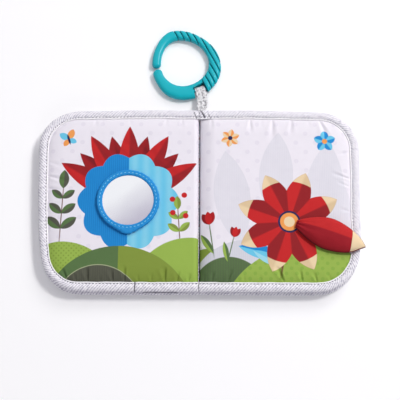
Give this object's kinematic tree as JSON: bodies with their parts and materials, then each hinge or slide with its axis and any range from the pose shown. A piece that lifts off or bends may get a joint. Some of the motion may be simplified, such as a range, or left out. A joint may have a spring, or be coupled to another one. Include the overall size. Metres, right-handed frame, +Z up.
{
  "type": "crinkle cloth book",
  "caption": "Padded cloth book that opens flat at its middle, with a soft mirror, a stuffed flap and a clip-on ring on a ribbon loop.",
  "frame": {"origin": "centre of the spine strip's flat underside, on the surface the open book lies on", "axes": "+X across the open book towards the right page, +Y along the spine towards the ring, +Z up out of the pages"},
  "size_m": [0.3017, 0.267, 0.0277],
  "materials": {
    "page_print": "printed polyester, pale lilac white with a garden print",
    "lining_print": "printed polyester, pale with simple shapes",
    "cover_cloth": "pale blue printed polyester",
    "twill_tape": "silver white twill",
    "padding": "polyester wadding",
    "crinkle_film": "thin crackling film",
    "mirror": "soft mirror film",
    "blue_cloth": "blue cloth",
    "red_cloth": "red satin cloth",
    "cream_cloth": "cream cloth",
    "ribbon": "silver herringbone ribbon",
    "teal_plastic": "satin moulded plastic"
  },
  "bodies": {
    "front_cover": {"front_cover_fabric": "cover_cloth", "front_cover_lining": "lining_print", "front_cover_padding": "padding", "front_cover_crinkle_film": "crinkle_film", "front_cover_binding": "twill_tape"},
    "left_page": {"left_page_face": "page_print", "left_page_reverse": "lining_print", "left_page_padding": "padding", "left_page_crinkle_film": "crinkle_film", "left_page_binding": "twill_tape", "mirror_backing": "padding", "mirror_film": "mirror", "mirror_bezel": "blue_cloth"},
    "right_page": {"right_page_face": "page_print", "right_page_reverse": "lining_print", "right_page_padding": "padding", "right_page_crinkle_film": "crinkle_film", "right_page_binding": "twill_tape", "flap_root_seam": "red_cloth"},
    "back_cover": {"back_cover_fabric": "cover_cloth", "back_cover_lining": "lining_print", "back_cover_padding": "padding", "back_cover_crinkle_film": "crinkle_film", "back_cover_binding": "twill_tape", "spine_strip": "cover_cloth", "spine_seam": "twill_tape"},
    "flap": {"flap_top_fabric": "red_cloth", "flap_under_fabric": "red_cloth", "flap_filling": "padding", "flap_crinkle_film": "crinkle_film", "flap_tip": "cream_cloth"},
    "loop": {"ribbon_loop": "ribbon"},
    "ring": {"c_ring": "teal_plastic"}
  },
  "joints": [
    {"name": "front_cover_turn", "type": "hinge", "parent": "back_cover", "child": "front_cover", "pos_m": [0, 0, 0.0166], "axis": [0, 1, 0], "range_deg": [0, 166]},
    {"name": "left_page_turn", "type": "hinge", "parent": "front_cover", "child": "left_page", "pos_m": [0, 0, 0.0166], "axis": [0, -1, 0], "range_deg": [-166, 0]},
    {"name": "right_page_turn", "type": "hinge", "parent": "back_cover", "child": "right_page", "pos_m": [0, 0, 0.0166], "axis": [0, 1, 0], "range_deg": [-160, 0]},
    {"name": "flap_lift", "type": "hinge", "parent": "right_page", "child": "flap", "pos_m": [0.092, -0.025, 0.0215], "axis": [0.3305, 0.9438, 0], "range_deg": [-170, 0]},
    {"name": "loop_lift", "type": "hinge", "parent": "back_cover", "child": "loop", "pos_m": [0.0008, 0.0886, 0.0125], "axis": [1, 0, 0], "range_deg": [-60, 85]},
    {"name": "ring_swing", "type": "hinge", "parent": "loop", "child": "ring", "pos_m": [0.00083, 0.11566, 0.004], "axis": [-0.9563, -0.2924, 0], "range_deg": [-50, 80]}
  ]
}
